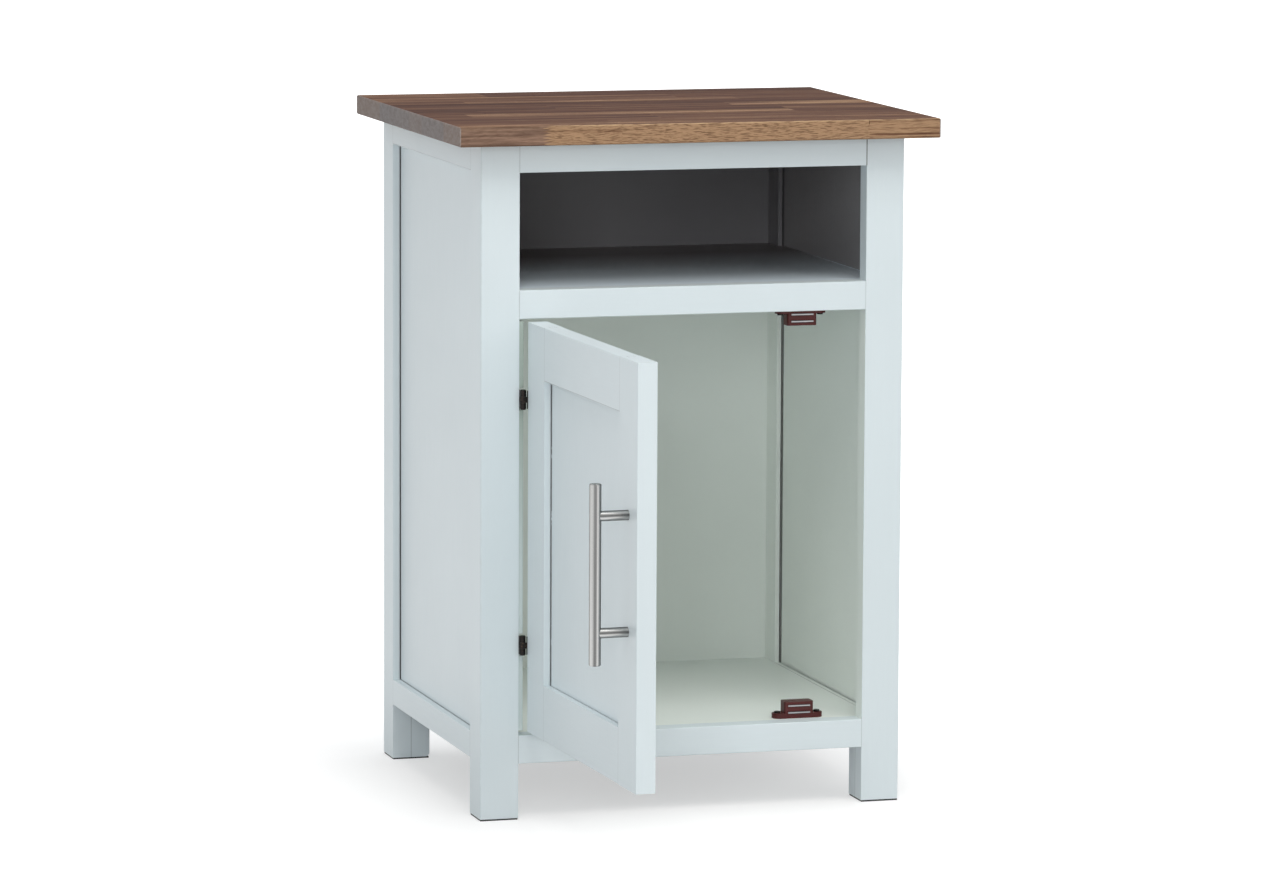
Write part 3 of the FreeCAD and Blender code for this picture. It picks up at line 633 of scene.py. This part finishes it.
PAINTS = {axis: paint("white_paint_" + axis, axis) for axis in "xyz"}
DOOR_PAINTS = {axis: paint("white_paint_door_" + axis, axis, on_door=True) for axis in "xz"}
STRIP_SHADE_PAINT = paint("white_paint_strip_shade", "z", strip_shade=True)
WOOD = butcher_block()
STEEL_BAR = metal("brushed_steel_bar", BRUSHED_STEEL, 0.28, (420.0, 420.0, 3.0), 0.25, (0, 1, -106.5))
STEEL_POST = metal("brushed_steel_post", BRUSHED_STEEL, 0.28, (3.0, 420.0, 420.0), 0.25, (1, 2, 172.0))
ZINC = metal("zinc_steel", ZINC_STEEL, 0.42, (500.0, 500.0, 500.0), 0.2)
POLE_STEEL = metal("pole_steel", POLE_GREY, 0.35, (60.0, 500.0, 500.0), 0.3)
BRONZE = bronze()
PLASTIC = moulded("brown_plastic", CATCH_BROWN, 0.42, 0.25)
FERRITE = moulded("ferrite", FERRITE_BLACK, 0.6, 0.1)
NYLON = moulded("glide_nylon", GLIDE_BLACK, 0.6)


# ---- Softened boards -------------------------------------------------------------------------------
BOARD_BREAK = 0.00028
SHARP = math.radians(30.0)
NEARLY_FLAT = math.radians(0.6)
SAME_POINT = 2e-6


def corner_layer(mesh, name):
    return mesh.loops.layers.float.new(name)


def fill(layer, faces, value=1.0):
    """Sets a corner layer's value on whole faces."""
    for face in faces:
        for loop in face.loops:
            loop[layer] = value


def clean_copy(node):
    """The node's mesh as a bmesh with its flat faces whole again."""
    mesh = bmesh.new()
    mesh.from_mesh(nodes[node].data)
    for face in mesh.faces:
        face.smooth = False
    bmesh.ops.remove_doubles(mesh, verts=mesh.verts, dist=SAME_POINT)
    bmesh.ops.dissolve_limit(mesh, angle_limit=NEARLY_FLAT, verts=mesh.verts, edges=mesh.edges)
    return mesh


def all_within(values, limits):
    return limits[0] < min(values) and max(values) < limits[1]


def is_raw(face, on_door):
    """Whether a whole face is inside a panel's groove.

    A panel's own faces have all their corners in the grooves, so the face's middle is looked at too.
    """
    middle = face.calc_center_median()
    if on_door:
        middle = shut(middle)
        in_field = all_within([middle.x], DOOR_FIELD[0]) and all_within([middle.z], DOOR_FIELD[1])
        return all_within([shut(vert.co).y for vert in face.verts], DOOR_GROOVE) and not in_field
    places = [middle] + [vert.co for vert in face.verts]
    if not all_within([abs(place.x) for place in places], SIDE_GROOVE):
        return False
    if all_within([abs(place.y) for place in places], SIDE_GROOVE_ENDS):
        return True
    return any(all_within([place.z for place in places], levels) for levels in SIDE_GROOVE_LEVELS)


def soften(mesh, width):
    """Breaks the sharp edges by a small width and marks the new faces for wear."""
    wear = corner_layer(mesh, "wear")
    sharp = [
        edge
        for edge in mesh.edges
        if edge.is_manifold and edge.is_convex and edge.calc_face_angle(0.0) > SHARP
        and edge.calc_length() > width * 4
    ]
    result = bmesh.ops.bevel(
        mesh,
        geom=sharp,
        offset=width,
        offset_type="OFFSET",
        segments=1,
        profile=0.5,
        affect="EDGES",
        clamp_overlap=True,
    )
    fill(wear, result["faces"])


def settle(mesh, name, node, material):
    """Makes the object for a mesh, which rides on the node's body and stands for the node."""
    data = bpy.data.meshes.new(name)
    mesh.to_mesh(data)
    mesh.free()
    data.materials.append(material)
    piece = bpy.data.objects.new(name, data)
    scene.collection.objects.link(piece)
    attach(piece, node_body[node])
    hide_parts(node)


def make_board(node, axis):
    """The node's softened copy, painted, with brush marks along an axis."""
    on_door = node_body[node] == "door"
    board = clean_copy(node)
    raw = corner_layer(board, "raw")
    fill(raw, [face for face in board.faces if is_raw(face, on_door)])
    soften(board, BOARD_BREAK)
    material = DOOR_PAINTS[axis] if on_door else PAINTS[axis]
    if node.startswith("hinge_strip"):
        material = STRIP_SHADE_PAINT
    settle(board, node + "_painted", node, material)


# How the painted boards' names start, by the axis along which they are brushed.
BOARD_AXES = {
    "x": ("front_rail", "rear_rail", "floor_board", "shelf_board", "catch_block", "door_rail"),
    "y": ("side_rail", "top_cleat"),
    "z": (
        "front_stile", "side_stile", "side_panel", "back_panel", "leg_block", "hinge_strip", "door_stile",
        "door_panel",
    ),
}
for name in sorted(nodes):
    for axis, starts in BOARD_AXES.items():
        if name.startswith(starts):
            make_board(name, axis)


# ---- The top ---------------------------------------------------------------------------------------
def cut(mesh, faces, place, normal):
    """Cuts some faces of a mesh along a plane."""
    edges = dict.fromkeys(edge for face in faces for edge in face.edges)
    verts = dict.fromkeys(vert for face in faces for vert in face.verts)
    bmesh.ops.bisect_plane(mesh, geom=[*verts, *edges, *faces], plane_co=place, plane_no=normal)


def faces_past(mesh, front_y, back_y, start):
    """The faces of one stave that are to the right of an x."""
    middles = [(face, face.calc_center_median()) for face in mesh.faces]
    return [face for face, middle in middles if front_y < middle.y < back_y and middle.x > start]


def make_top():
    """The top's copy, divided into its staves and their pieces, each with its own tone and seed."""
    top = clean_copy("top_panel")
    for front_y, _ in STAVES[:-1]:
        cut(top, top.faces[:], (0, front_y, 0), (0, 1, 0))
    tone = corner_layer(top, "tone")
    seed = corner_layer(top, "seed")
    wear = corner_layer(top, "wear")
    back_y = FAR
    number = 0
    for front_y, pieces in STAVES:
        for start, _ in pieces[1:]:
            cut(top, faces_past(top, front_y, back_y, -FAR), (start, 0, 0), (1, 0, 0))
        for start, lightness in pieces:
            number += 1
            piece_on = faces_past(top, front_y, back_y, start)
            fill(tone, piece_on, lightness)
            fill(seed, piece_on, number)
        back_y = front_y
    arrises = [face for face in top.faces if max(abs(part) for part in face.normal) < 0.99]
    fill(wear, arrises)
    for face in arrises:
        face.smooth = True
    settle(top, "top_staves", "top_panel", WOOD)


make_top()

# ---- Materials of the nodes that stay --------------------------------------------------------------
NODE_FINISHES = (
    (("handle_bar",), STEEL_BAR),
    (("handle_post",), STEEL_POST),
    (("hinge_upper", "hinge_lower", "hinge_screws", "catch_screws"), BRONZE),
    (("catch_upper_housing", "catch_lower_housing"), PLASTIC),
    (("catch_magnets",), FERRITE),
    (("strike_plate", "strike_screws", "handle_screws", "cleat_screws"), ZINC),
    (("catch_poles",), POLE_STEEL),
    (("foot_glides",), NYLON),
)
for starts, material in NODE_FINISHES:
    for name in nodes:
        if name.startswith(starts):
            mesh = nodes[name].data
            mesh.materials.clear()
            mesh.materials.append(material)


# ---- Camera ----------------------------------------------------------------------------------------
def add_camera():
    yaw = math.radians(CAMERA_YAW)
    pitch = math.radians(CAMERA_PITCH)
    roll = math.radians(CAMERA_ROLL)
    ahead = Vector((math.sin(yaw) * math.cos(pitch), math.cos(yaw) * math.cos(pitch), math.sin(pitch)))
    right = Vector((math.cos(yaw), -math.sin(yaw), 0.0))
    down = ahead.cross(right)
    right_rolled = right * math.cos(roll) + down * math.sin(roll)
    down_rolled = -right * math.sin(roll) + down * math.cos(roll)
    turn = Matrix((right_rolled, -down_rolled, -ahead)).transposed()
    data = bpy.data.cameras.new("camera")
    data.sensor_width = SENSOR_WIDTH
    data.lens = FOCAL_PIXELS * SENSOR_WIDTH / IMAGE_WIDTH
    data.clip_end = CAMERA_REACH
    camera = bpy.data.objects.new("camera", data)
    camera.matrix_world = Matrix.Translation(CAMERA_PLACE) @ turn.to_4x4()
    scene.collection.objects.link(camera)
    scene.camera = camera


# ---- Floor and light -------------------------------------------------------------------------------
# The floor glows less near the cabinet, so that its shadow shows; the far floor is plain white.
FLOOR_HALF = 12.0
FLOOR_COLOUR = (0.590, 0.576, 0.570)
FLOOR_GLOW = 0.468
FLOOR_GLOW_FAR = 1.1
FLOOR_GLOW_REACH = 0.48      # from the cabinet's foot to the far glow
SKY_COLOUR = (0.93, 0.975, 1.0)
# The sky's strength from each side: the axis, its sign and the strength.
SKY_SIDES = ((0, 1.0, 1.17), (0, -1.0, 0.56), (1, 1.0, 0.60), (2, 1.0, 0.76))
COOL_LIGHT = (0.950, 0.980, 1.0)
WARM_LIGHT = (1.0, 0.99, 0.96)
LAMP_TARGET = Vector((0.0, 0.0, 0.3))
# The lamps: name, place, width and height in metres, watts and colour.
LAMPS = (
    ("front", (-1.6, -4.1, 1.1), (1.2, 1.4), 36.5, COOL_LIGHT),
    ("high", (0.0, -1.6, 3.2), (2.0, 1.4), 32.0, WARM_LIGHT),
    ("slope", (-0.6, -2.6, 3.1), (1.4, 1.2), 9.0, WARM_LIGHT),
    ("right", (1.8, -3.4, 1.8), (2.0, 2.0), 14.0, WARM_LIGHT),
)


def seen_directly(g):
    """1 for rays from the camera and for rays seen in metal or glass, 0 for the light itself."""
    path = g.add("ShaderNodeLightPath").outputs
    return g.either(path["Is Camera Ray"], path["Is Glossy Ray"], path["Is Transmission Ray"])


def add_floor():
    corners = [(x * FLOOR_HALF, y * FLOOR_HALF, 0) for x, y in ((-1, -1), (1, -1), (1, 1), (-1, 1))]
    mesh = bpy.data.meshes.new("floor")
    mesh.from_pydata(corners, [], [(0, 1, 2, 3)])
    floor = bpy.data.objects.new("floor", mesh)
    scene.collection.objects.link(floor)
    g = Finish("floor_white")
    tone = g.mix(g.noise(g.place, 2.0, 2.0), scaled(FLOOR_COLOUR, 0.99), scaled(FLOOR_COLOUR, 1.01))
    g.finish(tone, 0.9, Specular_IOR_Level=0.0)
    g.put(WHITE, g.shader.inputs["Emission Color"])
    past_side = g.either(g.math("SUBTRACT", g.math("ABSOLUTE", g.x), SIDE_FACE), 0.0)
    past_front = g.either(g.math("SUBTRACT", g.math("ABSOLUTE", g.y), BACK_FACE), 0.0)
    distance = g.math("SQRT", g.math("ADD", g.every(past_side, past_side), g.every(past_front, past_front)))
    glow = g.spread(distance, 0.0, FLOOR_GLOW_REACH, FLOOR_GLOW, FLOOR_GLOW_FAR)
    g.put(g.every(seen_directly(g), glow), g.shader.inputs["Emission Strength"])
    mesh.materials.append(g.material)


def sky_strength(g):
    """A soft sky: each side's strength times the square of the direction's part towards it."""
    direction = g.split(g.add("ShaderNodeTexCoord").outputs["Generated"])
    total = 0.0
    for axis, sign, strength in SKY_SIDES:
        part = g.either(g.every(direction[axis], sign), 0.0)
        total = g.math("ADD", total, g.every(part, part, strength))
    return total


def add_world():
    world = bpy.data.worlds.new("studio")
    scene.world = world
    world.use_nodes = True
    world.node_tree.nodes.clear()
    g = Graph(world.node_tree)
    seen = g.add("ShaderNodeBackground")
    g.put(WHITE, seen.inputs["Color"])
    light = g.add("ShaderNodeBackground")
    g.put(SKY_COLOUR, light.inputs["Color"])
    g.put(sky_strength(g), light.inputs["Strength"])
    mixed = g.feed(g.add("ShaderNodeMixShader"), seen_directly(g), light.outputs[0], seen.outputs[0])
    g.put(mixed, g.add("ShaderNodeOutputWorld").inputs["Surface"])


def add_lamp(name, place, size, watts, colour):
    data = bpy.data.lights.new(name, "AREA")
    data.shape = "RECTANGLE"
    data.size, data.size_y = size
    data.energy = watts
    data.color = colour
    lamp = bpy.data.objects.new(name, data)
    lamp.location = place
    lamp.rotation_euler = (LAMP_TARGET - Vector(place)).to_track_quat("-Z", "Y").to_euler()
    scene.collection.objects.link(lamp)


add_camera()
add_floor()
add_world()
for lamp in LAMPS:
    add_lamp(*lamp)
